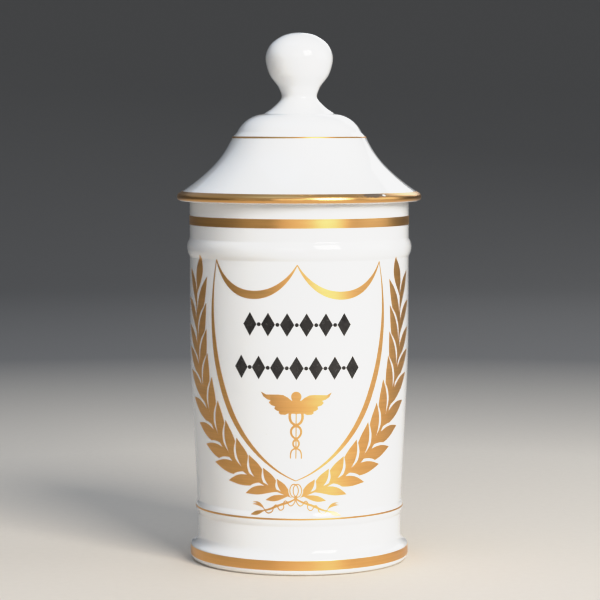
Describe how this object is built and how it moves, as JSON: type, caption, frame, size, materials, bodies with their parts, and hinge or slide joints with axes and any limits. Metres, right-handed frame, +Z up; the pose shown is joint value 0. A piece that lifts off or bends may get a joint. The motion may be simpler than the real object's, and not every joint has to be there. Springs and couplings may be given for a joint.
{
  "type": "apothecary jar",
  "caption": "Tall white porcelain apothecary jar with a lift-off knobbed lid, gold bands, a laurel wreath, a shield outline and a winged-staff emblem.",
  "frame": {"origin": "centre of the foot's underside, on the surface the jar stands on", "axes": "+Z up along the axis the jar is turned on; the painted front faces -Y"},
  "size_m": [0.1252, 0.1252, 0.27],
  "materials": {
    "porcelain": "clear high gloss glaze over white porcelain, bare on the ring it stands on",
    "gilding": "fired and burnished gold, satin, with fine horizontal brush streaks",
    "black_enamel": "glossy black overglaze enamel"
  },
  "bodies": {
    "jar": {"jar_body": "porcelain", "foot_gilt_band": "gilding", "waist_gilt_line": "gilding", "neck_gilt_band": "gilding", "laurel_branch_left": "gilding", "laurel_branch_right": "gilding", "cartouche_frame": "gilding", "caduceus_emblem": "gilding", "ribbon_bow": "gilding", "label_border_upper": "black_enamel", "label_border_lower": "black_enamel"},
    "lid": {"lid": "porcelain", "lid_rim_gilt_band": "gilding", "lid_shoulder_gilt_line": "gilding"}
  },
  "joints": [
    {"name": "lid_lift", "type": "slide", "parent": "jar", "child": "lid", "axis": [0, 0, 1], "range_m": [0, 0.12]}
  ]
}
